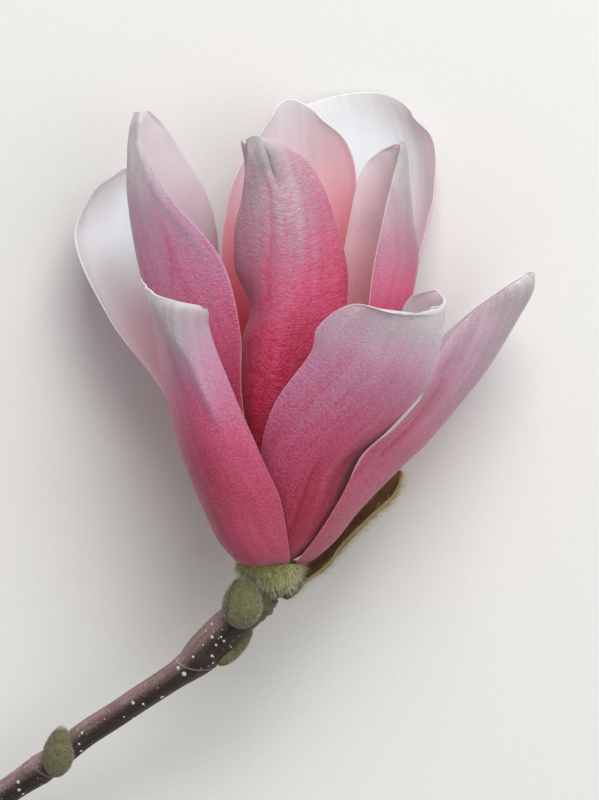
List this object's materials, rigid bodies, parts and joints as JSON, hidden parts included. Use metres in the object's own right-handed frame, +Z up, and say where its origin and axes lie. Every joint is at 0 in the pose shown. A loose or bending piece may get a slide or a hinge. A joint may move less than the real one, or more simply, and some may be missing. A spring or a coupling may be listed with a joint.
{
  "type": "saucer magnolia branch",
  "caption": "Cut magnolia shoot lying on a surface, with a half-open pink and white flower at its tip, felted buds and a hairy bud scale.",
  "frame": {"origin": "bottom centre of the bounding box, on the surface that the branch lies on", "axes": "+Z up from the surface; +Y along the flower from its stalk to its tepal tips; +X to the right as seen from above"},
  "size_m": [0.1262, 0.1534, 0.0608],
  "materials": {
    "twig_bark": "smooth red-brown bark with a grey bloom and pale lenticels",
    "stalk_felt": "silky yellow-green hairs",
    "scale_fur": "dark brown husk with olive hairs",
    "bud_felt": "grey-green felt",
    "stamen": "matte rose",
    "pistil": "satin yellow-green",
    "rose_tepal": "silky rose outside, whitish towards the tip",
    "deep_tepal": "silky deep rose with fine cross wrinkles",
    "pale_tepal": "silky white with a pink flush"
  },
  "bodies": {
    "root": {"twig": "twig_bark", "flower_stalk": "stalk_felt", "bud_scale": "scale_fur", "upper_bud": "bud_felt", "side_bud": "bud_felt", "lower_bud": "bud_felt", "stamens": "stamen", "pistil": "pistil", "outer_tepal_left": "pale_tepal", "outer_tepal_front": "rose_tepal", "outer_tepal_right": "rose_tepal", "middle_tepal_left": "rose_tepal", "middle_tepal_back": "pale_tepal", "middle_tepal_front": "rose_tepal", "inner_tepal_front": "deep_tepal", "inner_tepal_right": "deep_tepal", "inner_tepal_back": "pale_tepal"}
  },
  "joints": []
}
